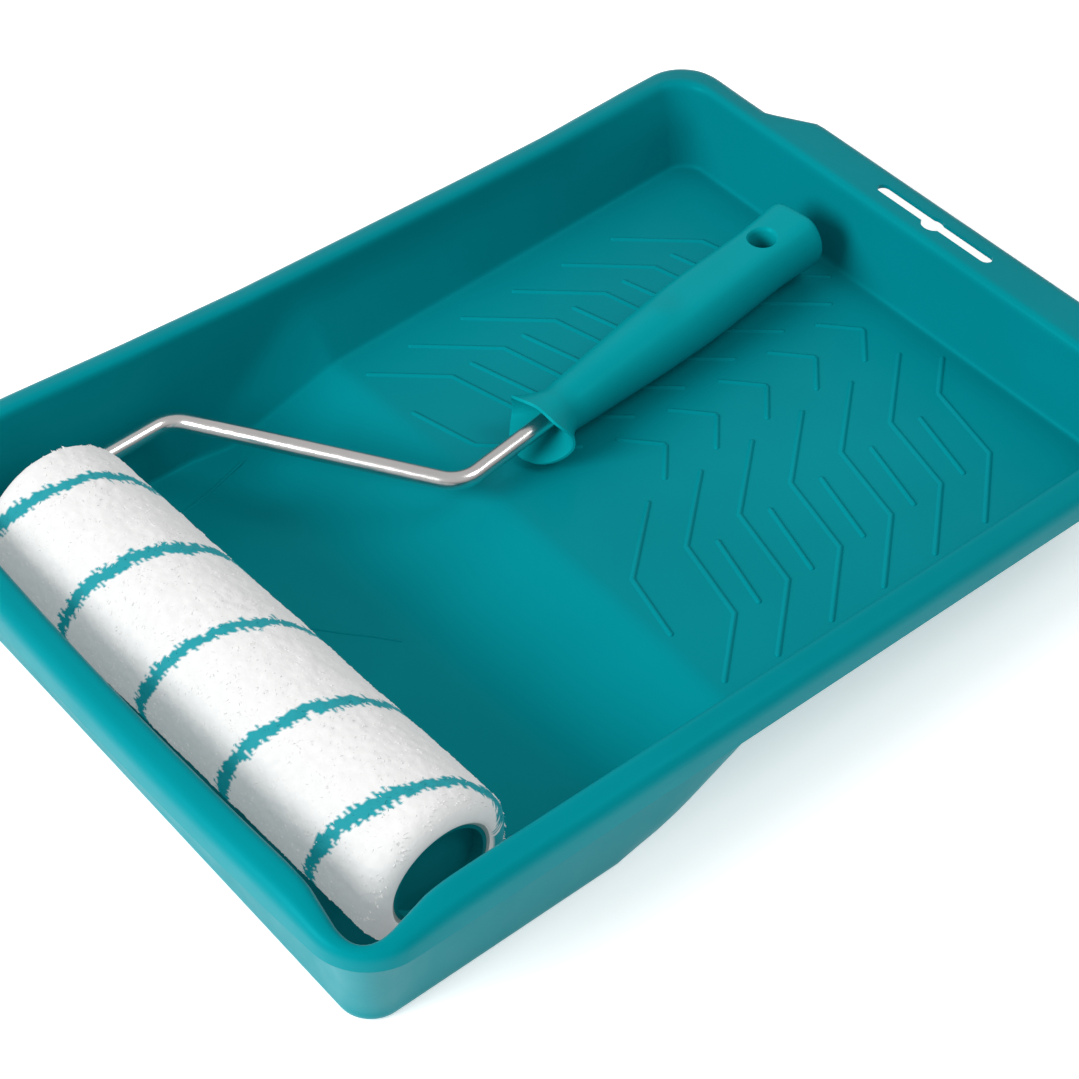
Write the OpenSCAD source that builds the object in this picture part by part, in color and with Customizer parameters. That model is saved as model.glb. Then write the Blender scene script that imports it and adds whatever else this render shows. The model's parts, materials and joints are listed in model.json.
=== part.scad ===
// Paint tray with a roller resting in its well: tray, bent-wire frame, handle, cage and sleeve.

/* [Tray] */
// Width across the outside of the rim
tray_w = 318; // [310:1:330]
// Length of the rim from front to back, without the grip
rim_len = 443; // [438:1:452]
// Height of the rim above the floor
rim_z = 69.4; // [66:0.2:74]
// Width of the rolled lip around the opening
lip_w = 13.4; // [11:0.2:15]
// Height of the skirt that hangs from the lip
skirt_h = 11.6; // [8:0.2:14]
// Wall thickness of the moulding
wall_t = 2; // [1.6:0.1:2.4]
// Length of the flat underside below the well
well_len = 135; // [128:1:140]
// Length of the slope between the well and the ramp
slope_len = 54; // [48:1:60]
// Height of the ramp's underside
ramp_z = 25; // [22:0.5:27]

/* [Ramp ribs] */
// Distance from one row of ribs to the next
rib_pitch = 29.4; // [28:0.1:30]
// Width of a rib
rib_w = 2; // [1.4:0.1:2.6]
// Height of a rib above the ramp
rib_h = 1; // [0.5:0.1:1.2]

/* [Grip] */
// Reach of the grip behind the rim
grip_reach = 15; // [13:1:18]
// Width of the grip where it meets the rim
grip_w = 222; // [200:1:240]
// Length of the slot through the grip
slot_len = 72; // [50:1:80]

/* [Roller] */
// Length of the sleeve over its pile
sleeve_len = 250; // [246:1:252]
// Outside diameter of the pile
pile_d = 69.4; // [66:0.2:69.6]
// Inside diameter of the sleeve's core tube
core_id = 44; // [43:0.5:45]
// Wall of the core tube
core_wall = 1.5; // [1:0.1:2]
// Diameter of the frame wire
wire_d = 8; // [7.6:0.1:8.2]
// Turn of the roller in the tray, seen from above
roller_yaw = 1.85; // [0:0.05:2.5]
// Slope of the frame from the sleeve up to the handle
frame_tilt = 1.5; // [1.45:0.05:1.8]

/* [Handle] */
// Angle of the handle away from square to the axle
handle_skew = 5.3; // [5:0.1:5.6]
// Largest radius of the handle
handle_r = 16.2; // [16:0.1:16.4]
// Length of the handle from neck to butt
handle_len = 168; // [165:1:170]
// Diameter of the hanging hole
hang_d = 12; // [8:0.5:12]

/* [Hidden] */
$fn = 64;
eps = 0.01;

// Tray plan, measured from the front of the flat underside
rim_front = -20;
rim_back = rim_front + rim_len;
y_mid = (rim_front + rim_back + grip_reach) / 2;
in_w = tray_w - 2 * lip_w;
lip_extra = 1.6;
in_front = rim_front + lip_w + lip_extra;
in_back = rim_back - lip_w;
base_taper = 4.5;
base_w = in_w - 2 * base_taper;
floor_back = in_back - 6;
ramp_taper = 7;
ramp_overlap = 60;
band_step = 1;
rim_r = 24;
mouth_r = 16;
base_r = 13;
lip_drop = 2.3;
bead_w = 3.4;
hull_fn = 32;
band_z = ramp_z + 27;
grip_inset = 6;
grip_corner = 20;
foot_x = 105;
foot_inset = 40;

// Roller places, in the roller's own plane: u along the axle, v towards the handle
axle_y = 42.5;
axle_x = 2.4;
pile_gap = 1.2;
axle_z = pile_d / 2 + wall_t + pile_gap;
wire_r = wire_d / 2;
bend_r = 14;
run_lap = 0.4;
bend_swell = 0.05;
side_u = -134;
side_v = 68;
turn_v = 134;
neck_u = -26.7;
neck_v = 181;
socket_depth = 62;
run_gap = 0.05;
end_play = 0.3;

// Mouth of the handle
mouth_w = 33;
mouth_h = 21;
mouth_reach = 11;
throat = 8;
throat_r = 8;

// Cage and sleeve
core_len = sleeve_len - 4;
core_r = core_id / 2;
cap_wall = 1.6;
cap_cup = 5;
cap_web = 3;
axle_tip = core_len / 2 - cap_cup - cap_web - 1.5;
hub_r = 8;
hub_len = 16;
bar_count = 5;
bar_d = 2.6;
bar_ring = core_r - 2.2;
disc_t = 4;
pile_round = 9;

module seat() {
    translate([0, -y_mid, 0]) children();
}

// Rounded rectangle by its half width and its front and back
module plan(half_w, front, back, r) {
    translate([-half_w + r, front + r])
        square([2 * half_w - 2 * r, back - front - 2 * r]);
    translate([-half_w, front + r]) square([2 * half_w, back - front - 2 * r]);
    translate([-half_w + r, front]) square([2 * half_w - 2 * r, back - front]);
    for (x = [-half_w + r, half_w - r])
        for (y = [front + r, back - r]) translate([x, y]) circle(r);
}

module slice(z, half_w, front, back, r) {
    translate([0, 0, z]) linear_extrude(eps) plan(half_w, front, back, r, $fn = hull_fn);
}

// The tapered space above the well, shrunk or grown by g
module well_space(g) {
    hull() {
        slice(-g, base_w / 2 + g, -g, well_len + slope_len, base_r);
        slice(rim_z, in_w / 2 + g, in_front - g, well_len + slope_len, mouth_r);
    }
}

// The tapered space above the ramp, which is narrow at the bottom
module ramp_space(g) {
    front = well_len - ramp_overlap;
    hull() {
        slice(ramp_z - g, base_w / 2 - ramp_taper + g, front, floor_back + g, base_r);
        slice(band_z, in_w / 2 - band_step + g, front, in_back - band_step + g, mouth_r);
        slice(rim_z, in_w / 2 + g, front, in_back + g, mouth_r);
    }
}

// Side view of the space inside the tray, lowered by g
module side_view(g) {
    near = 2 * rim_front;
    far = rim_back - rim_front;
    polygon([[near, -g], [well_len, -g], [well_len + slope_len, ramp_z - g], [far, ramp_z - g],
             [far, rim_z + eps], [near, rim_z + eps]]);
}

module tray_space(g, low) {
    intersection() {
        union() {
            well_space(g);
            ramp_space(g);
        }
        rotate([90, 0, 90]) linear_extrude(tray_w, center = true) side_view(low);
    }
}

module rim() {
    top = rim_z - lip_drop;
    difference() {
        translate([0, 0, top - skirt_h])
            linear_extrude(skirt_h) plan(tray_w / 2, rim_front, rim_back, rim_r);
        translate([0, 0, top - skirt_h - eps])
            linear_extrude(skirt_h - wall_t)
                plan(tray_w / 2 - wall_t, rim_front + wall_t, rim_back - wall_t, rim_r - wall_t);
        translate([-grip_w / 2 + grip_corner, rim_back - grip_inset, top - skirt_h - eps])
            cube([grip_w - 2 * grip_corner, 2 * grip_inset, skirt_h + 2 * eps]);
    }
    translate([0, 0, top - wall_t])
        linear_extrude(lip_drop + wall_t)
            plan(in_w / 2 + bead_w, in_front - bead_w, in_back + bead_w, mouth_r + bead_w);
}

// Grip plate behind the rim: a step down from the lip, a slot with a round middle, and a turned-down edge
module grip() {
    plate_z = rim_z - 5.4;
    plate_start = rim_back - grip_inset - wall_t;
    plate_end = rim_back + grip_reach;
    inner_w = grip_w - 2 * grip_corner;
    slot_y = rim_back + 2.8;
    slot_r = 3.25;
    bulge_r = 6.3;
    bulge_y = slot_y - 2;
    edge_h = 6;
    translate([0, 0, plate_z - wall_t]) linear_extrude(wall_t)
        difference() {
            polygon([[-grip_w / 2, rim_back - wall_t], [-inner_w / 2, plate_end],
                     [inner_w / 2, plate_end], [grip_w / 2, rim_back - wall_t],
                     [inner_w / 2, plate_start], [-inner_w / 2, plate_start]]);
            translate([-slot_len / 2 + slot_r, slot_y - slot_r])
                square([slot_len - 2 * slot_r, 2 * slot_r]);
            for (s = [-1, 1]) translate([s * (slot_len / 2 - slot_r), slot_y]) circle(slot_r);
            translate([0, bulge_y]) circle(bulge_r);
        }
    translate([-inner_w / 2, plate_start, plate_z - wall_t])
        cube([inner_w, wall_t, rim_z - lip_drop - plate_z + wall_t]);
    translate([-inner_w / 2, plate_end - wall_t, plate_z - edge_h]) cube([inner_w, wall_t, edge_h]);
}

// A rib of the ramp from p to q
module rib(p, q) {
    d = q - p;
    translate(p) rotate(atan2(d[1], d[0])) translate([-rib_w / 2, -rib_w / 2])
        square([norm(d) + rib_w, rib_w]);
}

// One half of the rib pattern: bent rows, a short rib between each two, and the middle chevrons
module rib_half() {
    start = well_len + slope_len + 49;
    first = well_len + slope_len + 3;
    last = floor_back - 14;
    for (k = [0:6]) {
        y = start + k * rib_pitch;
        row = [[22, y], [51, y - 34], [91, y - 44], [119, y - 77]];
        for (i = [0:2])
            if (row[i + 1][1] > first && row[i][1] < last) rib(row[i], row[i + 1]);
    }
    for (k = [1:5]) {
        y = start + k * rib_pitch;
        rib([57, y - 22], [92, y - 32]);
        rib([0, y], [15, y - 14]);
    }
}

// Hollow foot under the ramp, closed at the top
module foot() {
    foot_w = 26;
    foot_top = ramp_z + 0.5;
    hollow_w = foot_w - 2 * wall_t;
    difference() {
        translate([-foot_w / 2, 0, 0]) cube([foot_w, foot_w, foot_top]);
        translate([-hollow_w / 2, wall_t, -eps]) cube([hollow_w, hollow_w, ramp_z - wall_t]);
    }
}

module tray() color("#00808A") seat() {
    difference() {
        union() {
            tray_space(wall_t, 0);
            rim();
        }
        translate([0, 0, wall_t]) tray_space(0, 0);
        translate([0, 0, rim_z]) linear_extrude(wall_t) square([2 * tray_w, 3 * rim_len], center = true);
    }
    grip();
    translate([0, 0, ramp_z + wall_t - eps]) linear_extrude(rib_h + eps) {
        rib_half();
        mirror([1, 0]) rib_half();
    }
    for (s = [-1, 1]) translate([s * foot_x, floor_back - foot_inset, 0]) foot();
}

// Puts a piece drawn in the roller's plane into the tray
module roller_seat() {
    seat() translate([axle_x, axle_y, axle_z]) rotate([0, 0, roller_yaw]) rotate([frame_tilt, 0, 0])
        children();
}

// Lays something drawn along +Z along the axle, starting at u
module on_axle(u) {
    translate([u, 0, 0]) rotate([0, 90, 0]) children();
}

// Corners of the wire, from the tip of the axle into the handle
function wire_corners() = [[axle_tip, 0], [side_u, 0], [side_u, side_v],
                           [neck_u + (neck_v - turn_v) * tan(handle_skew), turn_v],
                           [neck_u - socket_depth * sin(handle_skew),
                            neck_v + socket_depth * cos(handle_skew)]];
function heading(a, b) = atan2(b[1] - a[1], b[0] - a[0]);
function turn(p, i) = let (t = heading(p[i], p[i + 1]) - heading(p[i - 1], p[i]))
    t > 180 ? t - 360 : t < -180 ? t + 360 : t;
// How far before a corner its bend starts
function cut(p, i) = i == 0 || i == len(p) - 1 ? 0 : bend_r * tan(abs(turn(p, i)) / 2);

// A straight run of the wire, which ends inside the bends at its ends
module wire_run(p, i) {
    lead = i == 0 ? 0 : run_lap;
    tail = i == len(p) - 2 ? 0 : run_lap;
    run = norm(p[i + 1] - p[i]) - cut(p, i) - cut(p, i + 1);
    translate([p[i][0], p[i][1], 0]) rotate([0, 0, heading(p[i], p[i + 1])])
        translate([cut(p, i) - lead, 0, 0]) rotate([0, 90, 0]) cylinder(r = wire_r, h = run + lead + tail);
}

// A bend at corner i, a hair thicker than the runs that it takes in
module wire_bend(p, i) {
    side = turn(p, i) > 0 ? 1 : -1;
    translate([p[i][0], p[i][1], 0]) rotate([0, 0, heading(p[i - 1], p[i])])
        translate([-cut(p, i), side * bend_r, 0]) rotate([0, 0, side > 0 ? -90 : 90 + turn(p, i)])
            rotate_extrude(angle = abs(turn(p, i))) translate([bend_r, 0]) circle(r = wire_r + bend_swell);
}

module frame_wire() color("#C4C8CC") roller_seat() {
    p = wire_corners();
    for (i = [0:len(p) - 2]) wire_run(p, i);
    for (i = [1:len(p) - 2]) wire_bend(p, i);
}

// Places something drawn along +Z along the handle, starting at its neck
module on_handle() {
    translate([neck_u, neck_v, 0]) rotate([0, 0, handle_skew]) rotate([-90, 0, 0]) children();
}

// The flared mouth of the handle, grown by g
module flare(g) {
    hull() {
        translate([0, 0, -mouth_reach]) linear_extrude(eps)
            square([mouth_w + 2 * g, mouth_h + 2 * g], center = true);
        translate([0, 0, throat]) cylinder(r = throat_r + g, h = eps, $fn = hull_fn);
    }
}

// The notch in each side of the mouth
module notch() {
    translate([0, 0, -mouth_reach - wall_t]) rotate([90, 0, 0]) linear_extrude(2 * mouth_w, center = true)
        polygon([[24, -8], [9, 14], [24, 20]]);
}

module handle() color("#009AA2") roller_seat() {
    flat_r = 13;
    flat_len = 40;
    hang_at = handle_len - 24;
    on_handle() difference() {
        union() {
            rotate_extrude() polygon([[0, 0], [10, 0], [10.4, 12], [11.6, 42], [13.1, 66], [14.4, 90],
                [15.5, 118], [handle_r, 142], [handle_r, handle_len - 3], [14.4, handle_len],
                [0, handle_len]]);
            flare(wall_t);
        }
        translate([0, 0, -eps]) flare(0);
        translate([0, 0, -eps]) cylinder(d = wire_d, h = socket_depth + eps);
        notch();
        mirror([1, 0, 0]) notch();
        for (s = [0, 1]) mirror([0, s, 0]) translate([-flat_len / 2, flat_r, hang_at - 14])
            cube([flat_len, flat_r, flat_len]);
        translate([0, 2 * flat_r, hang_at]) rotate([90, 0, 0]) cylinder(d = hang_d, h = 4 * flat_r);
    }
}

// Ring pushed on the wire that stops the cage from sliding towards the bend
module stop_collar() color("#3A3F44") roller_seat() {
    collar_t = 1.2;
    on_axle(-core_len / 2 + cap_cup - end_play - collar_t) difference() {
        cylinder(r = wire_r + 2.5, h = collar_t);
        translate([0, 0, -eps]) cylinder(r = wire_r, h = collar_t + 2 * eps);
    }
}

// Spring push nut that holds the inner cap against the collar
module axle_clip() color("#9AA0A6") roller_seat() {
    clip_t = 0.8;
    on_axle(-core_len / 2 + cap_cup + hub_len + end_play) difference() {
        cylinder(r = wire_r + 2.6, h = clip_t);
        translate([0, 0, -eps]) cylinder(r = wire_r, h = clip_t + 2 * eps);
    }
}

// Dished cap with a hub that runs on the axle; its cup opens along +Z and its bore ends at bore_top
module cap(bore_top) {
    difference() {
        union() {
            difference() {
                cylinder(r = core_r, h = cap_cup + cap_web);
                translate([0, 0, cap_web]) cylinder(r = core_r - cap_wall, h = cap_cup + eps);
            }
            translate([0, 0, cap_web - hub_len]) cylinder(r = hub_r, h = hub_len);
        }
        translate([0, 0, -hub_len]) cylinder(r = wire_r + run_gap, h = hub_len + bore_top);
    }
}

module outer_cap() color("#14A7AD") roller_seat() {
    on_axle(core_len / 2 - cap_cup - cap_web) cap(-0.5);
}

module inner_cap() color("#14A7AD") roller_seat() {
    on_axle(-core_len / 2 + cap_cup + cap_web) mirror([0, 0, 1]) cap(cap_web + eps);
}

module bar_ring_at(d) {
    for (i = [0:bar_count - 1]) rotate([0, 0, i * 360 / bar_count]) translate([bar_ring, 0]) circle(d = d);
}

module cage_bars() color("#B8BCC0") roller_seat() {
    span = core_len - 2 * (cap_cup + cap_web);
    on_axle(-span / 2) linear_extrude(span) bar_ring_at(bar_d, $fn = 24);
}

module cage_disc() color("#0F8F96") roller_seat() {
    on_axle(-disc_t / 2) linear_extrude(disc_t) difference() {
        circle(core_r - 0.5);
        circle(wire_r + 0.3);
        bar_ring_at(bar_d, $fn = 24);
    }
}

module sleeve_core() color("#E6E2D8") roller_seat() {
    on_axle(-core_len / 2) difference() {
        cylinder(r = core_r + core_wall, h = core_len);
        translate([0, 0, -eps]) cylinder(r = core_r, h = core_len + 2 * eps);
    }
}

module sleeve_pile() color("#F2F2F0") roller_seat() {
    r0 = core_r + core_wall;
    r1 = pile_d / 2;
    half = sleeve_len / 2;
    steps = 5;
    shoulder = [for (i = [0:steps]) let (a = 90 * i / steps)
        [r1 - pile_round * (1 - sin(a)), half - pile_round * (1 - cos(a))]];
    lower = [for (i = [steps:-1:0]) [shoulder[i][0], -shoulder[i][1]]];
    on_axle(0) rotate_extrude() polygon(concat([[r0, -half], [r0, half]], shoulder, lower));
}

tray();
frame_wire();
handle();
stop_collar();
axle_clip();
inner_cap();
outer_cap();
cage_bars();
cage_disc();
sleeve_core();
sleeve_pile();
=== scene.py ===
"""Looks for the paint tray and its roller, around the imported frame. Sizes are in millimetres."""

import json
import math
import random

import bmesh
import bpy
import numpy as np
from mathutils import Matrix, Vector, noise


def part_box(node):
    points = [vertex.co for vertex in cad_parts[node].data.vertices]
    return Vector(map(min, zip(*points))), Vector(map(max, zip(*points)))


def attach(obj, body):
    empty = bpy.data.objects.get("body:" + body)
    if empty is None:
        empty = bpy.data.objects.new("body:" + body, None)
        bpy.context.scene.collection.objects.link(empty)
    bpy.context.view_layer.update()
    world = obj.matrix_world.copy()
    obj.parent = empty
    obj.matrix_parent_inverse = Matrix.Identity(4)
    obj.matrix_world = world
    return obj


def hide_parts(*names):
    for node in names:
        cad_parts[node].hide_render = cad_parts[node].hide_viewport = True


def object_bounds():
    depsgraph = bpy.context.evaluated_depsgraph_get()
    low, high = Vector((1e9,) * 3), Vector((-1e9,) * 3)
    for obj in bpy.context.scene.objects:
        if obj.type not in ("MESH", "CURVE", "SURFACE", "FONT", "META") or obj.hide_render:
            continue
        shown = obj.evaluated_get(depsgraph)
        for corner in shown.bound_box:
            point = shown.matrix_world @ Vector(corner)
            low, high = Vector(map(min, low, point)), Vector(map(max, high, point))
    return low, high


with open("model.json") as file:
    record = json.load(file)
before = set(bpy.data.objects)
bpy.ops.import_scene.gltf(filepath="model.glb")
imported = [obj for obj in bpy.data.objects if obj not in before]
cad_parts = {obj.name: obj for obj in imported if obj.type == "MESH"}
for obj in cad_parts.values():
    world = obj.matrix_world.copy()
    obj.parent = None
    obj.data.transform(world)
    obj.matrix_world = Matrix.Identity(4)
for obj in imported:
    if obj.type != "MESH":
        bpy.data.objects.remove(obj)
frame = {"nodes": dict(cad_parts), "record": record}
cad_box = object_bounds()
record = frame["record"]

MM = 0.001
RIM_FRONT = -20.0
RIM_BACK = 423.0

# The tray plan of part.scad starts at the front of its flat underside. The row frame starts at the
# middle of the footprint.
tray_low, tray_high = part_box("tray")
Y_SHIFT = tray_low[1] / MM - RIM_FRONT
RIM_Z = tray_high[2] / MM


def plan_to_row(points):
    """Tray plan points in millimetres to row frame points in metres."""
    points = np.asarray(points, float)
    return (points + np.array([0, Y_SHIFT, 0])) * MM


# ---------------------------------------------------------------- camera

CAM_AZ, CAM_EL, CAM_ROLL = (math.radians(a) for a in (49.62, 45.55, 0.89))
CAM_PLACE = (608.05, -319.62, 827.72)
FOCAL = 2732.47 / 1079 * 36


def make_camera():
    level = math.cos(CAM_EL)
    ahead = Vector((-math.sin(CAM_AZ) * level, math.cos(CAM_AZ) * level, -math.sin(CAM_EL)))
    right = Vector((math.cos(CAM_AZ), math.sin(CAM_AZ), 0))
    up = right.cross(ahead)
    x_axis = right * math.cos(CAM_ROLL) + up * math.sin(CAM_ROLL)
    y_axis = up * math.cos(CAM_ROLL) - right * math.sin(CAM_ROLL)
    data = bpy.data.cameras.new("camera")
    data.sensor_width = 36
    data.lens = FOCAL
    data.clip_start = 0.01
    camera = bpy.data.objects.new("camera", data)
    bpy.context.scene.collection.objects.link(camera)
    turn = Matrix((x_axis, y_axis, -ahead)).transposed().to_4x4()
    camera.matrix_world = Matrix.Translation(Vector(plan_to_row(CAM_PLACE))) @ turn
    bpy.context.scene.camera = camera


make_camera()

# ---------------------------------------------------------------- materials


def new_material(name):
    material = bpy.data.materials.new(name)
    material.use_nodes = True
    nodes = material.node_tree.nodes
    links = material.node_tree.links
    return material, nodes, links, nodes["Principled BSDF"]


def mottled(nodes, links, coordinates, scale, low, high, detail=3.0):
    """A noise whose value runs from low to high."""
    texture = nodes.new("ShaderNodeTexNoise")
    texture.inputs["Scale"].default_value = scale
    texture.inputs["Detail"].default_value = detail
    links.new(coordinates, texture.inputs["Vector"])
    spread = nodes.new("ShaderNodeMapRange")
    spread.inputs["From Min"].default_value = 0.3
    spread.inputs["From Max"].default_value = 0.7
    spread.inputs["To Min"].default_value = low
    spread.inputs["To Max"].default_value = high
    links.new(texture.outputs["Fac"], spread.inputs["Value"])
    return spread.outputs["Result"]


def two_tone(nodes, links, factor, colour_a, colour_b):
    mix = nodes.new("ShaderNodeMix")
    mix.data_type = "RGBA"
    mix.inputs["A"].default_value = colour_a
    mix.inputs["B"].default_value = colour_b
    links.new(factor, mix.inputs["Factor"])
    return mix.outputs["Result"]


def plastic(name, colour, rough, grain=900.0, grain_depth=0.012, gloss=0.5, tinted=True):
    """Moulded plastic: a slight drift of colour and gloss, and a fine satin grain."""
    material, nodes, links, bsdf = new_material(name)
    place = nodes.new("ShaderNodeTexCoord").outputs["Object"]
    drift = mottled(nodes, links, place, 9.0, 0.0, 1.0)
    darker = tuple(c * 0.93 for c in colour[:3]) + (1.0,)
    lighter = tuple(min(1.0, c * 1.05) for c in colour[:3]) + (1.0,)
    links.new(two_tone(nodes, links, drift, darker, lighter), bsdf.inputs["Base Color"])
    links.new(mottled(nodes, links, place, 60.0, rough - 0.04, rough + 0.05), bsdf.inputs["Roughness"])
    texture = nodes.new("ShaderNodeTexNoise")
    texture.inputs["Scale"].default_value = grain
    texture.inputs["Detail"].default_value = 2.0
    links.new(place, texture.inputs["Vector"])
    bump = nodes.new("ShaderNodeBump")
    bump.inputs["Strength"].default_value = grain_depth * 10
    bump.inputs["Distance"].default_value = 0.0002
    links.new(texture.outputs["Fac"], bump.inputs["Height"])
    links.new(bump.outputs["Normal"], bsdf.inputs["Normal"])
    bsdf.inputs["IOR"].default_value = 1.25
    bsdf.inputs["Specular IOR Level"].default_value = gloss
    bsdf.inputs["Specular Tint"].default_value = (0.0, 0.85, 0.95, 1.0) if tinted else (1, 1, 1, 1)
    return material


def metal(name, colour, rough_low, rough_high, streak=(40, 40, 400)):
    """Drawn metal: fine streaks in the gloss."""
    material, nodes, links, bsdf = new_material(name)
    place = nodes.new("ShaderNodeTexCoord").outputs["Object"]
    stretch = nodes.new("ShaderNodeMapping")
    stretch.inputs["Scale"].default_value = streak
    links.new(place, stretch.inputs["Vector"])
    rough = mottled(nodes, links, stretch.outputs["Vector"], 6.0, rough_low, rough_high)
    links.new(rough, bsdf.inputs["Roughness"])
    tone = mottled(nodes, links, place, 25.0, 0.0, 1.0)
    darker = tuple(c * 0.9 for c in colour[:3]) + (1.0,)
    links.new(two_tone(nodes, links, tone, darker, colour), bsdf.inputs["Base Color"])
    bsdf.inputs["Metallic"].default_value = 1.0
    return material


TEAL = (0.0004, 0.225, 0.262, 1.0)
TEAL_HANDLE = (0.001, 0.285, 0.32, 1.0)
TEAL_CAP = (0.004, 0.34, 0.37, 1.0)
tray_plastic = plastic("tray_plastic", TEAL, 0.36)
handle_plastic = plastic("handle_plastic", TEAL_HANDLE, 0.34, grain=1400.0)
cap_plastic = plastic("cap_plastic", TEAL_CAP, 0.4)
collar_plastic = plastic("collar_plastic", (0.03, 0.033, 0.036, 1.0), 0.5, tinted=False)
core_plastic = plastic("core_plastic", (0.72, 0.71, 0.68, 1.0), 0.55, tinted=False)
wire_chrome = metal("wire_chrome", (0.80, 0.78, 0.77, 1.0), 0.16, 0.26)
spring_steel = metal("spring_steel", (0.5, 0.5, 0.51, 1.0), 0.25, 0.4)


def pile_material(name):
    """Plush fibre: the dye comes from the mesh, with soft grey shade painted between the clumps; the fibre
    also glows in its dye colour, painted light that brightens its shaded sides.
    """
    material, nodes, links, bsdf = new_material(name)
    place = nodes.new("ShaderNodeTexCoord").outputs["Object"]
    dye = nodes.new("ShaderNodeVertexColor")
    dye.layer_name = "dye"
    shade = mottled(nodes, links, place, 240.0, 0.95, 1.0, detail=5.0)
    mix = nodes.new("ShaderNodeMix")
    mix.data_type = "RGBA"
    mix.blend_type = "MULTIPLY"
    mix.inputs["Factor"].default_value = 1.0
    grey = nodes.new("ShaderNodeCombineColor")
    for channel in ("Red", "Green", "Blue"):
        links.new(shade, grey.inputs[channel])
    links.new(dye.outputs["Color"], mix.inputs["A"])
    links.new(grey.outputs["Color"], mix.inputs["B"])
    links.new(mix.outputs["Result"], bsdf.inputs["Base Color"])
    # Painted light: the fibre glows in its own dye colour so its shaded sides stay bright.
    links.new(mix.outputs["Result"], bsdf.inputs["Emission Color"])
    bsdf.inputs["Emission Strength"].default_value = 0.6
    texture = nodes.new("ShaderNodeTexNoise")
    texture.inputs["Scale"].default_value = 700.0
    texture.inputs["Detail"].default_value = 4.0
    links.new(place, texture.inputs["Vector"])
    bump = nodes.new("ShaderNodeBump")
    bump.inputs["Strength"].default_value = 0.35
    bump.inputs["Distance"].default_value = 0.0004
    links.new(texture.outputs["Fac"], bump.inputs["Height"])
    links.new(bump.outputs["Normal"], bsdf.inputs["Normal"])
    bsdf.inputs["Roughness"].default_value = 0.9
    bsdf.inputs["Sheen Weight"].default_value = 0.12
    bsdf.inputs["Sheen Roughness"].default_value = 0.5
    return material


pile_fibre = pile_material("pile_fibre")

# ---------------------------------------------------------------- mesh helpers


def add_piece(name, verts, faces, material, sharp=35):
    """A piece from row frame vertices in metres."""
    mesh = bpy.data.meshes.new(name)
    mesh.from_pydata([tuple(v) for v in verts], [], [tuple(f) for f in faces])
    mesh.materials.append(material)
    piece = bpy.data.objects.new(name, mesh)
    bpy.context.scene.collection.objects.link(piece)
    tidy_mesh(piece, sharp)
    return piece


def tidy_mesh(piece, sharp=35):
    mesh = piece.data
    work = bmesh.new()
    work.from_mesh(mesh)
    bmesh.ops.recalc_face_normals(work, faces=work.faces)
    work.to_mesh(mesh)
    work.free()
    for polygon in mesh.polygons:
        polygon.use_smooth = True
    mesh.set_sharp_from_angle(angle=math.radians(sharp))


def apply_modifiers(piece):
    """Bakes the piece's modifiers into its mesh."""
    graph = bpy.context.evaluated_depsgraph_get()
    made = bpy.data.meshes.new_from_object(piece.evaluated_get(graph))
    piece.modifiers.clear()
    piece.data = made


def smooth_max(a, b, k):
    h = np.clip(0.5 + 0.5 * (a - b) / k, 0, 1)
    return b * (1 - h) + a * h + k * h * (1 - h)


def smooth_min(a, b, k):
    return -smooth_max(-np.asarray(a), -np.asarray(b), k)


def sweep(sections):
    """Vertices and faces of a closed skin over equal rings of points."""
    verts = np.concatenate(sections)
    n = len(sections[0])
    faces = []
    for k in range(len(sections) - 1):
        for i in range(n):
            j = (i + 1) % n
            faces.append((k * n + i, k * n + j, (k + 1) * n + j, (k + 1) * n + i))
    faces.append(tuple(range(n))[::-1])
    faces.append(tuple(range((len(sections) - 1) * n, len(sections) * n)))
    return verts, faces


# ---------------------------------------------------------------- tray

INNER_HALF = 145.6
FOOT_HALF = 140.6
FOOT_EDGE = 4.0
SPOUT = 6.0
SLOT_Y = 423.0
GRIP_OUT = 12.5
RAMP_TOP = RIM_Z - 42.4
WELL_TOP = 2.0
WALL = 2.0
X_ROWS = np.linspace(-118, 118, 61)
Y_ROWS = np.concatenate(
    [
        np.arange(24, 112, 4.0),
        np.arange(112, 152, 2.0),
        np.arange(152, 172, 4.0),
        np.arange(172, 204, 1.6),
        np.arange(204, 386, 4.0),
    ]
)
ARC = 7


def ring(half_w, front, back, r, front_r):
    """A rounded rectangle, from the middle of the front left corner; rings match point by point."""
    points = []

    def arc(sx, start, stop, count):
        near = start >= 180
        size = front_r if near else r
        cx = sx * (half_w - size)
        cy = front + size if near else back - size
        for k in range(count):
            a = math.radians(start + (stop - start) * k / ARC)
            points.append((cx + size * math.cos(a), cy + size * math.sin(a)))

    arc(-1, 225, 270, ARC + 1)
    points.extend((x, front) for x in X_ROWS)
    arc(1, 270, 315, ARC)
    arc(1, 315, 360, ARC + 1)
    points.extend((half_w, y) for y in Y_ROWS)
    arc(1, 0, 45, ARC)
    arc(1, 45, 90, ARC + 1)
    points.extend((x, back) for x in X_ROWS[::-1])
    arc(-1, 90, 135, ARC)
    arc(-1, 135, 180, ARC + 1)
    points.extend((-half_w, y) for y in Y_ROWS[::-1])
    arc(-1, 180, 225, ARC)
    return np.array(points)


def floor_height(x, y):
    """Top of the well, slope and ramp."""
    foot = 135 + 0.0001 * x * x
    brow = 190 - 0.00015 * x * x
    t = (y - foot) / (brow - foot)
    t = smooth_min(smooth_max(t, 0.0, 0.08), 1.0, 0.08)
    return WELL_TOP + (RAMP_TOP - WELL_TOP) * t


def floor_half(y):
    """Half width of the floor: it narrows along the slope and widens again along the ramp."""
    return np.interp(y, [118, 187, 394], [FOOT_HALF, 129.5, FOOT_HALF])


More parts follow.
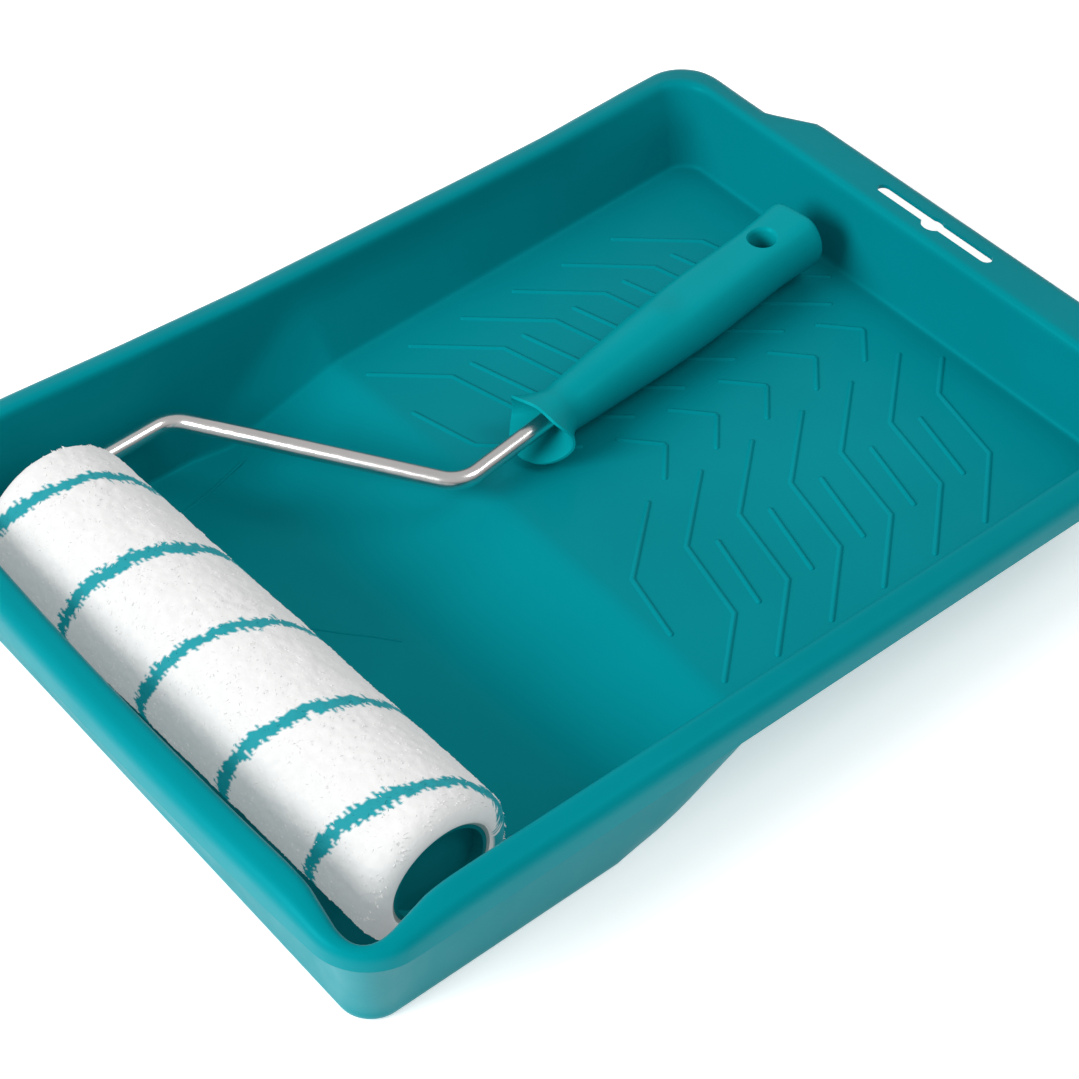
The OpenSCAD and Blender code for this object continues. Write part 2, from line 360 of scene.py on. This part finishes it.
def bow(x):
    """How far the front of the rim bows out."""
    return 4.2 * np.clip(1 - (x / 136) ** 2, 0, 1)


def corner_weight(points):
    """1 at the middle of each front corner, falling to 0 along the rim."""
    weight = np.zeros(len(points))
    for start in (0, 2 * ARC + 1 + len(X_ROWS)):
        steps = np.linalg.norm(np.diff(np.vstack([points, points[:1]]), axis=0), axis=1)
        along = np.concatenate([[0], np.cumsum(steps)])
        total = along[-1]
        gap = np.abs(along[:-1] - along[start])
        gap = np.minimum(gap, total - gap)
        weight = np.maximum(weight, np.exp(-((gap / 17.0) ** 2)))
    return weight


def left_flare(y):
    """How much further than the right side the rim's left side stands out."""
    return np.interp(y, [-20, 47, 102, 160, 280, 330, 387, 423], [7.6, 6.4, 3.3, 1.3, 1.3, 1.9, 5.2, 5.7])


def grip_reach(points):
    """How far the rim reaches out behind the tray to make the grip."""
    reach = np.interp(np.abs(points[:, 0]), [86, 107], [GRIP_OUT, 0])
    return np.where(points[:, 1] > 400, reach, 0)


def tray_curves():
    """Curves that the tray's skin runs through: floor edge, foot, crease, rim, lip edge and skirt."""
    foot0 = ring(FOOT_HALF, -0.8, 405.5, 12.5, 12.5)
    inside = ring(FOOT_HALF - FOOT_EDGE, FOOT_EDGE - 0.8, 405.5 - FOOT_EDGE, 9, 9)
    plain = ring(INNER_HALF, -3.4, 409.6, 16, 16)
    rim = plain.copy()
    lip = ring(158.0, -16.0, 423.6, 22, 25)
    skirt = ring(159.0, -16.8, RIM_BACK + 1.6, 23, 26)

    foot = foot0.copy()
    foot[:, 0] *= floor_half(foot[:, 1]) / FOOT_HALF
    inside[:, 0] *= (floor_half(inside[:, 1]) - FOOT_EDGE) / (FOOT_HALF - FOOT_EDGE)
    weight = corner_weight(rim)
    for curve in (rim, lip, skirt):
        curve[:, 1] -= bow(curve[:, 0]) * np.clip((30 - curve[:, 1]) / 25, 0, 1)
        curve[:, 0] -= left_flare(curve[:, 1]) * np.clip((-curve[:, 0] - 95) / 50, 0, 1)
    lip_reach, skirt_reach = grip_reach(lip), grip_reach(skirt)
    lip[:, 1] += lip_reach
    skirt[:, 1] += skirt_reach
    rim[:, 0] += SPOUT * weight * np.sign(rim[:, 0])
    rim[:, 1] -= SPOUT * weight

    def with_z(curve, z):
        return np.column_stack([curve, np.broadcast_to(z, len(curve))])

    # The photo shows the left wall's crease from inside and the right wall's from outside, and they
    # are at different heights there
    left_z = 3.4 + 0.83 * (foot0[:, 1] - 118)
    right_z = 4.2 + 0.58 * (foot0[:, 1] - 138.7)
    crease_z = np.where(foot0[:, 0] < 0, left_z, right_z)
    crease_z = smooth_min(smooth_max(crease_z, 8.0, 6.0), 54.0, 6.0)
    rim3 = with_z(rim, RIM_Z - 5.5 * weight)
    base3 = with_z(foot0, WELL_TOP)
    share = ((crease_z - WELL_TOP) / (RIM_Z - WELL_TOP))[:, None]
    crease3 = base3 + (with_z(plain, RIM_Z) - base3) * share
    crease3[:, 2] = crease_z
    return [
        with_z(inside, floor_height(inside[:, 0], inside[:, 1])),
        with_z(foot, floor_height(foot[:, 0], foot[:, 1])),
        crease3,
        rim3,
        with_z(lip, RIM_Z - 2.6 - 4.4 * weight),
        with_z(skirt, RIM_Z - 14.5 + 4.5 * skirt_reach / GRIP_OUT),
    ]


def rounded_section(curves, radii, steps):
    """Rings of points along the polyline through the curves, with each inner corner rounded."""
    rings = [curves[0]]
    for k in range(1, len(curves) - 1):
        before, here, after = curves[k - 1], curves[k], curves[k + 1]
        back, ahead = before - here, after - here
        back_len = np.linalg.norm(back, axis=1, keepdims=True)
        ahead_len = np.linalg.norm(ahead, axis=1, keepdims=True)
        a = here + back / back_len * np.minimum(radii[k], 0.46 * back_len)
        b = here + ahead / ahead_len * np.minimum(radii[k], 0.46 * ahead_len)
        if k > 1:
            last = rings[-1]
            rings.extend([last + (a - last) / 3, last + (a - last) * 2 / 3])
        for t in np.linspace(0, 1, steps[k]):
            rings.append(a * (1 - t) ** 2 + 2 * here * t * (1 - t) + b * t * t)
    rings.extend([(rings[-1] + curves[-1]) / 2, curves[-1]])
    return rings


def make_tray():
    curves = tray_curves()
    rings = rounded_section(curves, [0, 2.6, 7, 4.5, 6.0, 0], [0, 6, 6, 8, 8, 0])
    n = len(rings[0])
    nx = 2 * ARC + 1 + len(X_ROWS)
    ny = 2 * ARC + 1 + len(Y_ROWS)
    edge = rings[0]
    front = edge[: nx + 1]
    right = edge[nx : nx + ny + 1]
    back = edge[nx + ny : 2 * nx + ny + 1][::-1]
    left = np.vstack([edge[2 * nx + ny :], edge[:1]])[::-1]

    a = ((front[:, 0] - front[0, 0]) / (front[-1, 0] - front[0, 0]))[:, None, None]
    b = ((right[:, 1] - right[0, 1]) / (right[-1, 1] - right[0, 1]))[None, :, None]
    patch = (1 - b) * front[:, None] + b * back[:, None] + (1 - a) * left[None] + a * right[None]
    patch -= (1 - a) * (1 - b) * front[0] + a * (1 - b) * front[-1] + (1 - a) * b * back[0] + a * b * back[-1]
    patch[:, :, 2] = floor_height(patch[:, :, 0], patch[:, :, 1])

    index = -np.ones((nx + 1, ny + 1), int)
    index[:, 0] = range(nx + 1)
    index[nx, :] = range(nx, nx + ny + 1)
    index[::-1, ny] = range(nx + ny, 2 * nx + ny + 1)
    index[0, 1:] = range(2 * nx + 2 * ny - 1, 2 * nx + ny - 1, -1)
    verts = list(np.concatenate(rings))
    for i in range(1, nx):
        for j in range(1, ny):
            index[i, j] = len(verts)
            verts.append(patch[i, j])
    faces = [
        (index[i, j], index[i + 1, j], index[i + 1, j + 1], index[i, j + 1])
        for i in range(nx)
        for j in range(ny)
    ]
    for k in range(len(rings) - 1):
        for i in range(n):
            j = (i + 1) % n
            faces.append((k * n + i, (k + 1) * n + i, (k + 1) * n + j, k * n + j))
    tray = add_piece("tray_body", plan_to_row(verts), faces, tray_plastic, sharp=60)
    if tray.data.polygons[0].normal.z < 0:
        tray.data.flip_normals()
    wall = tray.modifiers.new("wall", "SOLIDIFY")
    wall.thickness = WALL * MM
    wall.offset = -1
    wall.use_even_offset = True
    apply_modifiers(tray)
    tidy_mesh(tray, 60)
    return tray


def arc_points(cx, cy, r, start, stop, count):
    angles = np.radians(np.linspace(start, stop, count + 1))
    return [(cx + r * math.cos(a), cy + r * math.sin(a)) for a in angles]


def slot_outline():
    """A long slot with a round middle that bulges towards the tray."""
    half, r, bulge = 34.3, 3.3, 5.3
    centre_y = SLOT_Y - 1.2
    low_cut = math.degrees(math.asin((SLOT_Y - r - centre_y) / bulge))
    high_cut = math.degrees(math.asin((SLOT_Y + r - centre_y) / bulge))
    points = arc_points(half - r, SLOT_Y, r, -90, 90, 12)
    points += arc_points(0, centre_y, bulge, high_cut, 180 - high_cut, 8)
    points += arc_points(-half + r, SLOT_Y, r, 90, 270, 12)
    points += arc_points(0, centre_y, bulge, 180 - low_cut, 360 + low_cut, 24)
    return points


def cut_away(piece, cutter):
    """Cuts one piece out of another and removes the cutter."""
    cut = piece.modifiers.new("cut", "BOOLEAN")
    cut.object = cutter
    cut.operation = "DIFFERENCE"
    cut.solver = "EXACT"
    apply_modifiers(piece)
    bpy.data.objects.remove(cutter)


def cut_slot(tray):
    outline = np.array(slot_outline())
    loops = [np.column_stack([outline, np.full(len(outline), z)]) for z in (RIM_Z - 22, RIM_Z + 4)]
    verts, faces = sweep(loops)
    cut_away(tray, add_piece("slot_cutter", plan_to_row(verts), faces, tray_plastic))
    tidy_mesh(tray, 60)


tray = make_tray()
cut_slot(tray)
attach(tray, "tray_body")
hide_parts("tray")

# ---------------------------------------------------------------- ribs of the ramp

RIB_PITCH = 29.4
RIB_HALF = 1.35
RIB_H = 0.75
RIB_SINK = 0.7


def rib(path, half=RIB_HALF, height=RIB_H):
    """A soft ridge on the tray's floor along a path of plan points, with rounded ends."""
    path = [np.array(p, float) for p in path]
    stations = []
    for k, point in enumerate(path):
        if k == 0 or k == len(path) - 1:
            other = path[1] if k == 0 else path[-2]
            along = (other - point) / np.linalg.norm(other - point)
            ends = [
                (point - along * half * (1 - s), math.sqrt(max(0.02, 1 - (1 - s) ** 2)))
                for s in (0, 0.15, 0.45, 1)
            ]
            side = np.array([-along[1], along[0]]) * (1 if k == 0 else -1)
            ends = [(p, side * size, size) for p, size in ends]
            stations.extend(ends if k == 0 else ends[::-1])
        else:
            a = (point - path[k - 1]) / np.linalg.norm(point - path[k - 1])
            b = (path[k + 1] - point) / np.linalg.norm(path[k + 1] - point)
            mid = (a + b) / np.linalg.norm(a + b)
            side = np.array([-mid[1], mid[0]]) / max(0.5, float(mid @ a))
            stations.append((point, side, 1.0))
    sections = []
    for point, side, size in stations:
        section = []
        for t in np.linspace(-1, 1, 9):
            xy = point + side * half * t
            section.append((*xy, floor_height(*xy) + height * size * (1 - t * t) ** 1.3))
        for t in (1, -1):
            xy = point + side * half * t
            section.append((*xy, floor_height(*xy) - RIB_SINK))
        sections.append(np.array(section))
    return sweep(sections)


def clip_row(row, low, high):
    """The stretch of a rib row between two y values."""
    kept = []
    for (x0, y0), (x1, y1) in zip(row, row[1:]):
        t0 = min(max((y0 - high) / (y0 - y1), 0), 1)
        t1 = min(max((y0 - low) / (y0 - y1), 0), 1)
        if t1 - t0 < 0.08:
            continue
        a = (x0 + (x1 - x0) * t0, y0 + (y1 - y0) * t0)
        b = (x0 + (x1 - x0) * t1, y0 + (y1 - y0) * t1)
        if not kept:
            kept.append(a)
        kept.append(b)
    return kept


def make_ribs():
    verts, faces = [], []

    def add(ridge):
        base = len(verts)
        verts.extend(ridge[0])
        faces.extend([tuple(base + i for i in face) for face in ridge[1]])

    def put(path):
        if len(path) < 2:
            return
        for sign in (1, -1):
            add(rib([(sign * x, y) for x, y in path]))

    low, high = 196, 398
    for k in range(7):
        y = 238 + k * RIB_PITCH
        put(clip_row([(22, y), (51, y - 34), (91, y - 44), (118, y - 75)], low, high))
    for k in range(1, 6):
        y = 238 + k * RIB_PITCH
        put([(57, y - 22), (92, y - 32)])
        put([(0.9, y - 0.9), (15, y - 14)])
    add(rib([(-116, 91), (-120, 112), (-127, 137)], 0.6, 0.4))
    add(rib([(-40, 94), (-31, 98), (-19, 108), (-9, 117), (0, 124)], 0.6, 0.4))
    ribs = add_piece("ramp_ribs", plan_to_row(verts), faces, tray_plastic, sharp=50)
    return ribs


ribs = make_ribs()
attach(ribs, "tray_body")

# ---------------------------------------------------------------- rear feet


def box_ring(cx, cy, z, half, r, count=5):
    loop = []
    for (sx, sy), start in zip([(1, 1), (-1, 1), (-1, -1), (1, -1)], (0, 90, 180, 270)):
        loop += arc_points(cx + sx * (half - r), cy + sy * (half - r), r, start, start + 90, count)
    return np.array([(x, y, z) for x, y in loop])


def make_foot(name, cx, cy):
    """A hollow tapered foot below the ramp, closed by the ramp above it."""
    sections = [
        box_ring(cx, cy, RAMP_TOP - 1.2, 9.6, 2.4),
        box_ring(cx, cy, 0.6, 8.6, 2.4),
        box_ring(cx, cy, 0.0, 9.0, 2.4),
        box_ring(cx, cy, 0.0, 10.4, 3.4),
        box_ring(cx, cy, 0.6, 11.0, 4.0),
        box_ring(cx, cy, RAMP_TOP - 6.0, 12.2, 4.0),
        box_ring(cx, cy, RAMP_TOP - 3.2, 13.0, 4.6),
        box_ring(cx, cy, RAMP_TOP - 1.6, 14.6, 6.0),
        box_ring(cx, cy, RAMP_TOP - 1.2, 14.6, 6.0),
    ]
    verts = np.concatenate(sections)
    n = len(sections[0])
    count = len(sections)
    faces = []
    for k in range(count):
        for i in range(n):
            j = (i + 1) % n
            k2 = (k + 1) % count
            faces.append((k * n + i, k * n + j, k2 * n + j, k2 * n + i))
    return add_piece(name, plan_to_row(verts), faces, tray_plastic, 45)


for name, x in (("foot_left", -105.0), ("foot_right", 105.0)):
    foot_piece = make_foot(name, x, 376.0)
    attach(foot_piece, "tray_body")

# ---------------------------------------------------------------- the roller's own frame

roller_record = next(j for j in record["behaviour"]["joints"] if j["name"] == "roller_spin")
AXLE = Vector(roller_record["axis"]).normalized()
MIDDLE = Vector(roller_record["pos_m"])
hang = next(m for m in record["mounts"] if m["name"] == "hanging_hole")
UP = Vector(hang["axis"]).normalized()
FORWARD = UP.cross(AXLE).normalized()
ROLLER = Matrix.Translation(MIDDLE) @ Matrix((AXLE, FORWARD, UP)).transposed().to_4x4()
ROLLER_NP = np.array(ROLLER)


def roller_to_row(points):
    """Roller points (u along the axle, v to the handle, w up) in millimetres to row frame metres."""
    points = np.asarray(points, float) * MM
    return points @ ROLLER_NP[:3, :3].T + ROLLER_NP[:3, 3]


WIRE_R = 4.0
BEND_R = 14.0
SKEW = math.radians(5.3)
NECK = np.array([-26.7, 181.0])
CORNERS = [
    (114.0, 0.0),
    (-134.0, 0.0),
    (-134.0, 68.0),
    (NECK[0] + 47 * math.tan(SKEW), NECK[1] - 47),
    (NECK[0] - 62 * math.sin(SKEW), NECK[1] + 62 * math.cos(SKEW)),
]


def bent_path(corners, radius, step=7.0):
    """Points along a path of straight runs with round bends."""
    points = [np.array(corners[0])]
    for k in range(1, len(corners) - 1):
        here = np.array(corners[k])
        a = here - np.array(corners[k - 1])
        b = np.array(corners[k + 1]) - here
        a /= np.linalg.norm(a)
        b /= np.linalg.norm(b)
        turn = math.acos(float(np.clip(a @ b, -1, 1)))
        reach = radius * math.tan(turn / 2)
        sign = 1 if a[0] * b[1] - a[1] * b[0] > 0 else -1
        normal = np.array([-a[1], a[0]]) * sign
        centre = here - a * reach + normal * radius
        count = max(4, int(math.degrees(turn) / step))
        for i in range(count + 1):
            t = turn * i / count
            points.append(centre + radius * (a * math.sin(t) - normal * math.cos(t)))
    points.append(np.array(corners[-1]))
    return np.array(points)


def make_wire():
    path = bent_path(CORNERS, BEND_R, 5.0)
    sections = []
    for k, point in enumerate(path):
        if k == 0:
            along = path[1] - path[0]
        elif k == len(path) - 1:
            along = path[-1] - path[-2]
        else:
            a = path[k] - path[k - 1]
            b = path[k + 1] - path[k]
            along = a / np.linalg.norm(a) + b / np.linalg.norm(b)
        along = along / np.linalg.norm(along)
        side = np.array([-along[1], along[0]])
        angles = np.linspace(0, 2 * math.pi, 32, endpoint=False)
        loop = np.array([(*(point + side * WIRE_R * math.cos(a)), WIRE_R * math.sin(a)) for a in angles])
        if k == 0:
            tip = loop.copy()
            tip[:, :2] = point + (tip[:, :2] - point) * 0.75
            tip[:, 2] *= 0.75
            sections.append(tip)
            loop[:, :2] += along * 1.2
        sections.append(loop)
    verts, faces = sweep(sections)
    return add_piece("wire_frame", roller_to_row(verts), faces, wire_chrome, 40)


wire = make_wire()
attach(wire, "roller_frame")
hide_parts("frame_wire")

# ---------------------------------------------------------------- handle

HANDLE_TURN = np.array([[math.cos(SKEW), -math.sin(SKEW)], [math.sin(SKEW), math.cos(SKEW)]])
HANG_AT = 144.0


def handle_to_row(points):
    """Points of the handle (s sideways, t from neck to butt, w up) to row frame metres."""
    points = np.asarray(points, float)
    plane = points[:, :2] @ HANDLE_TURN.T + NECK
    return roller_to_row(np.column_stack([plane, points[:, 2]]))


def make_handle():
    count = 72
    angles = np.linspace(0, 2 * math.pi, count, endpoint=False)
    cosine, sine = np.cos(angles), np.sin(angles)

    def super_loop(half_top, half_low, height, power):
        """Cross-section with its own width above and below."""
        half = half_low + (half_top - half_low) * (0.5 + 0.5 * sine)
        x = np.sign(cosine) * np.abs(cosine) ** (2 / power) * half
        z = np.sign(sine) * np.abs(sine) ** (2 / power) * height
        return x, z

    sections = []

    def put(x, z, t):
        sections.append(np.column_stack([x, np.broadcast_to(t, count), z]))

    # The lips reach forward above and below, with a V-shaped notch between them at each side
    notch = np.abs(cosine) ** 3.0
    reach = np.where(sine > 0, 1.5 + 3.0 * np.abs(cosine), 6.0 + 5.0 * (1 - np.abs(cosine)) ** 0.8)
    mouth_t = -reach + (reach + 2.0) * notch
    put(3.4 * cosine, 3.4 * sine, 11.0)
    put(4.4 * cosine, 4.4 * sine, 10.0)
    for share in (0.25, 0.5, 0.75, 0.92):
        wide = share ** 1.3
        tall = 5 + 5.4 * share ** 1.2
        x, z = super_loop(5 + 12.0 * wide, 5 + 11.4 * wide, tall, 2.0 + 0.5 * share)
        put(x, z, 10.0 + (mouth_t - 10.0) * share)
    x, z = super_loop(17.9, 17.2, 11.2, 2.5)
    put(x, z, mouth_t - 0.7)
    x, z = super_loop(18.7, 18.0, 12.2, 2.5)
    put(x, z, mouth_t)
    for share in (0.08, 0.25, 0.45, 0.65, 0.85):
        flare = (1 - share) ** 1.7
        x, z = super_loop(11 + 7.7 * flare, 11 + 7.0 * flare, 11 + 1.2 * flare, 2.0 + 0.5 * (1 - share))
        put(x, z, mouth_t + (12.0 - mouth_t) * share)

    stations = [12, 18, 26, 34, 42, 50, 58, 66, 72, 78, 84, 92]
    stations += [100, 108, 116, 124, 132, 138, 144, 150, 155, 159, 162]
    shape_t = [0, 12, 40, 66, 90, 105, 125, 143, 156, 164]
    shape_r = [10.6, 10.9, 12.8, 14.6, 15.7, 15.9, 15.5, 15.2, 15.8, 16.4]
    for t in stations:
        r = float(np.interp(t, shape_t, shape_r))
        top = float(np.interp(t, [0, 62, 82, 120, 150, 168], [40, 40, 13.4, 12.9, 12.9, 14.2]))
        x = r * cosine
        z = r * sine * 0.98
        z = np.where(z > 0, smooth_min(z, top, 2.2), z)
        low = float(np.interp(t, [0, 120, 140, 168], [40, 40, 13.6, 13.8]))
        z = np.where(z < 0, -smooth_min(-z, low, 2.2), z)
        put(x, z, float(t))
    last_x, last_z = sections[-1][:, 0], sections[-1][:, 2]
    butt = [(1.012, 164.5), (1.016, 166.2), (0.995, 167.4), (0.95, 168.0)]
    butt += [(0.9, 167.9), (0.86, 167.3), (0.8, 167.1)]
    for grow, t in butt:
        put(last_x * grow, last_z * grow, t)
    put(last_x * 0.4, last_z * 0.4, 167.0)

    verts, faces = sweep(sections)
    handle = add_piece("handle_body", handle_to_row(verts), faces, handle_plastic, 50)
    cutter_rows = [(-30, 7.6), (-14.2, 7.6), (-12.6, 6.2), (-11.6, 5.9)]
    cutter_rows += [(10.9, 5.9), (12.0, 6.3), (13.4, 7.8), (30, 7.8)]
    turn = np.linspace(0, 2 * math.pi, 40, endpoint=False)
    loops = []
    for w, r in cutter_rows:
        loops.append(np.array([(r * math.cos(a), HANG_AT + r * math.sin(a), w) for a in turn]))
    cv, cf = sweep(loops)
    cutter = add_piece("hang_cutter", handle_to_row(cv), cf, handle_plastic, 50)
    cut_away(handle, cutter)
    for polygon in handle.data.polygons:
        polygon.use_smooth = True
    handle.data.set_sharp_from_angle(angle=math.radians(38))
    return handle


handle = make_handle()
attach(handle, "roller_frame")
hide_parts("handle")

# ---------------------------------------------------------------- sleeve

PILE_R = 34.3
SLEEVE_HALF = 125.0
CORE_R = 23.5
END_ROUND = 9.5
STRIPE_PITCH = 51.8
STRIPE_START = -113.7
STRIPE_LEAN = 4.3
STRIPE_HALF = 3.1
WHITE = (0.5, 0.5, 0.498)
STRIPE = (0.0, 0.19, 0.222)


def axle_point(u, theta, r):
    """A point at u along the axle; theta is 0 at the front of the sleeve and 90 degrees at its top."""
    return (u, -r * math.cos(theta), r * math.sin(theta))


def stripe_gap(u, theta):
    """Distance along the axle from the spiral stripe's middle."""
    turn = math.degrees(theta) % 360
    middle = STRIPE_START + STRIPE_PITCH * turn / 360 + STRIPE_LEAN * math.sin(math.radians(turn - 82))
    gap = (u - middle) % STRIPE_PITCH
    return min(gap, STRIPE_PITCH - gap)


def dye_at(u, theta, loose):
    wave = noise.noise(Vector((u * 0.09, theta * 3.1, 4.0))) * 2.0
    fray = noise.noise(Vector((u * 0.3, theta * 34.0, 9.0))) * 3.2
    inside = stripe_gap(u + wave, theta) + fray + loose < STRIPE_HALF
    return STRIPE if inside else WHITE


def pile_radius(u, theta):
    """Radius of the pile's skin, which rounds over at the ends and clumps a little."""
    end = SLEEVE_HALF - abs(u)
    r = PILE_R
    clump = noise.noise(Vector((u * 0.11, math.cos(theta) * 3.6, math.sin(theta) * 3.6))) * 0.4
    clump += noise.noise(Vector((u * 0.34, math.cos(theta) * 11, math.sin(theta) * 11 + 5))) * 0.32
    clump += noise.noise(Vector((u * 0.8, math.cos(theta) * 26, math.sin(theta) * 26 + 9))) * 0.2
    return r + clump * min(1.0, end / 6.0) - 0.3


def make_pile():
    around, along = 230, 250
    verts, faces, dyes = [], [], []
    us = np.linspace(-SLEEVE_HALF + END_ROUND, SLEEVE_HALF - END_ROUND, along)
    rows = []
    for side in (-1, 1):
        arc = []
        for k in range(1, 13):
            a = math.pi / 2 * k / 12
            u = SLEEVE_HALF - END_ROUND + END_ROUND * math.sin(a)
            arc.append((side * u, END_ROUND * (1 - math.cos(a))))
        rows.append(arc)
    profile = [(u, drop) for u, drop in rows[0][::-1]] + [(u, 0.0) for u in us] + rows[1]
    for u, drop in profile:
        for i in range(around):
            theta = 2 * math.pi * i / around
            r = pile_radius(u, theta) - drop
            r = max(r, CORE_R + 0.3)
            verts.append(axle_point(u, theta, r))
            dyes.append(dye_at(u, theta, 0.0))
    for end_u in (SLEEVE_HALF - 0.6, -SLEEVE_HALF + 0.6):
        for i in range(around):
            verts.append(axle_point(end_u, 2 * math.pi * i / around, CORE_R + 0.1))
            dyes.append(WHITE)
    for k in range(len(profile) + 1):
        k2 = (k + 1) % (len(profile) + 2)
        for i in range(around):
            j = (i + 1) % around
            faces.append((k * around + i, k * around + j, k2 * around + j, k2 * around + i))
    k = len(profile) + 1
    for i in range(around):
        j = (i + 1) % around
        faces.append((k * around + i, k * around + j, j, i))
    pile = add_piece("pile_skin", roller_to_row(verts), faces, pile_fibre, 180)
    colours = pile.data.color_attributes.new("dye", "FLOAT_COLOR", "POINT")
    colours.data.foreach_set("color", np.column_stack([np.array(dyes), np.ones(len(dyes))]).ravel())
    return pile


TUFT_COUNT = 17000
TUFT_FACES = [(0, 2, 1), (0, 3, 5, 2), (2, 5, 4, 1), (1, 4, 3, 0), (3, 6, 5), (5, 6, 4), (4, 6, 3)]


def make_tufts():
    """Fine bent tufts standing out of the pile."""
    draw = random.Random(7)
    verts, faces, dyes = [], [], []
    for _ in range(TUFT_COUNT):
        u = draw.uniform(-SLEEVE_HALF + 1.5, SLEEVE_HALF - 1.5)
        theta = draw.uniform(0, 2 * math.pi)
        end = SLEEVE_HALF - abs(u)
        past = max(0.0, END_ROUND - end)
        drop = END_ROUND - math.sqrt(max(0.0, END_ROUND ** 2 - past ** 2))
        r = pile_radius(u, theta) - drop - 0.5
        lean = noise.noise(Vector((u * 0.05, math.cos(theta) * 2, math.sin(theta) * 2))) * 6.0
        lean += draw.uniform(-0.7, 0.7)
        reach = draw.uniform(0.9, 2.1)
        du = math.cos(lean) * reach
        dt = math.sin(lean) * reach / r
        lift = draw.uniform(0.3, 0.62)
        wide = draw.uniform(0.2, 0.36)
        colour = dye_at(u, theta, draw.uniform(-0.5, 0.5))
        base = len(verts)
        across_u, across_t = -math.sin(lean) * wide, math.cos(lean) * wide / r
        tip_u = min(max(u + du, -SLEEVE_HALF), SLEEVE_HALF)
        mid_u = min(max(u + du * 0.5, -SLEEVE_HALF), SLEEVE_HALF)
        verts.append(axle_point(u + across_u, theta + across_t, r))
        verts.append(axle_point(u - across_u, theta - across_t, r))
        verts.append(axle_point(u, theta, r + wide * 1.5))
        verts.append(axle_point(mid_u + across_u * 0.7, theta + dt * 0.5 + across_t * 0.7, r + lift * 0.72))
        verts.append(axle_point(mid_u - across_u * 0.7, theta + dt * 0.5 - across_t * 0.7, r + lift * 0.72))
        verts.append(axle_point(mid_u, theta + dt * 0.5, r + lift * 0.72 + wide))
        verts.append(axle_point(tip_u, theta + dt, r + lift))
        faces.extend(tuple(base + k for k in face) for face in TUFT_FACES)
        dyes.extend([colour] * 7)
    tufts = add_piece("pile_tufts", roller_to_row(verts), faces, pile_fibre, 180)
    colours = tufts.data.color_attributes.new("dye", "FLOAT_COLOR", "POINT")
    colours.data.foreach_set("color", np.column_stack([np.array(dyes), np.ones(len(dyes))]).ravel())
    return tufts


pile = make_pile()
tufts = make_tufts()
for piece in (pile, tufts):
    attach(piece, "roller")
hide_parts("sleeve_pile")

# ---------------------------------------------------------------- CAD nodes that stay

for node, material in (
    ("stop_collar", collar_plastic),
    ("axle_clip", spring_steel),
    ("inner_cap", cap_plastic),
    ("outer_cap", cap_plastic),
    ("cage_bars", spring_steel),
    ("cage_disc", cap_plastic),
    ("sleeve_core", core_plastic),
):
    for holder in frame["nodes"][node].material_slots:
        holder.material = material

# ---------------------------------------------------------------- floor and light


def make_floor():
    half = 6.0
    work = bmesh.new()
    bmesh.ops.create_grid(work, x_segments=2, y_segments=2, size=half)
    mesh = bpy.data.meshes.new("studio_floor")
    work.to_mesh(mesh)
    work.free()
    material, nodes, links, bsdf = new_material("studio_floor")
    place = nodes.new("ShaderNodeTexCoord").outputs["Object"]
    tone = mottled(nodes, links, place, 3.0, 0.0, 1.0)
    shade = two_tone(nodes, links, tone, (0.93, 0.93, 0.93, 1), (0.95, 0.95, 0.95, 1))
    links.new(shade, bsdf.inputs["Base Color"])
    bsdf.inputs["Roughness"].default_value = 0.9
    bsdf.inputs["Emission Color"].default_value = (1, 1, 1, 1)
    bsdf.inputs["Emission Strength"].default_value = 0.42
    mesh.materials.append(material)
    floor = bpy.data.objects.new("studio_floor", mesh)
    bpy.context.scene.collection.objects.link(floor)
    floor.location.z = cad_box[0][2] - 0.0002


def area_light(name, place, target, size, power, colour=(1, 1, 1)):
    data = bpy.data.lights.new(name, "AREA")
    data.shape = "DISK"
    data.size = size
    data.energy = power
    data.color = colour
    light = bpy.data.objects.new(name, data)
    bpy.context.scene.collection.objects.link(light)
    light.location = place
    light.rotation_euler = (Vector(target) - Vector(place)).to_track_quat("-Z", "Y").to_euler()


def make_lights():
    world = bpy.data.worlds.new("studio")
    world.use_nodes = True
    background = world.node_tree.nodes["Background"]
    background.inputs["Strength"].default_value = 0.5
    nodes, links = world.node_tree.nodes, world.node_tree.links
    height = nodes.new("ShaderNodeSeparateXYZ")
    links.new(nodes.new("ShaderNodeTexCoord").outputs["Generated"], height.inputs["Vector"])
    ramp = nodes.new("ShaderNodeValToRGB")
    ramp.color_ramp.elements[0].position = 0.05
    ramp.color_ramp.elements[0].color = (0.3, 0.3, 0.3, 1)
    ramp.color_ramp.elements[1].position = 0.55
    ramp.color_ramp.elements[1].color = (1.1, 1.1, 1.1, 1)
    links.new(height.outputs["Z"], ramp.inputs["Fac"])
    links.new(ramp.outputs["Color"], background.inputs["Color"])
    bpy.context.scene.world = world
    area_light("key", (-0.35, -2.2, 1.25), (0, 0, 0), 1.4, 60)
    area_light("back", (0.9, 0.7, 1.8), (0, 0, 0), 0.9, 9)


make_floor()
make_lights()
view = bpy.context.scene.view_settings
view.view_transform = "Standard"
view.look = "None"
view.exposure = 0.0
view.gamma = 1.0
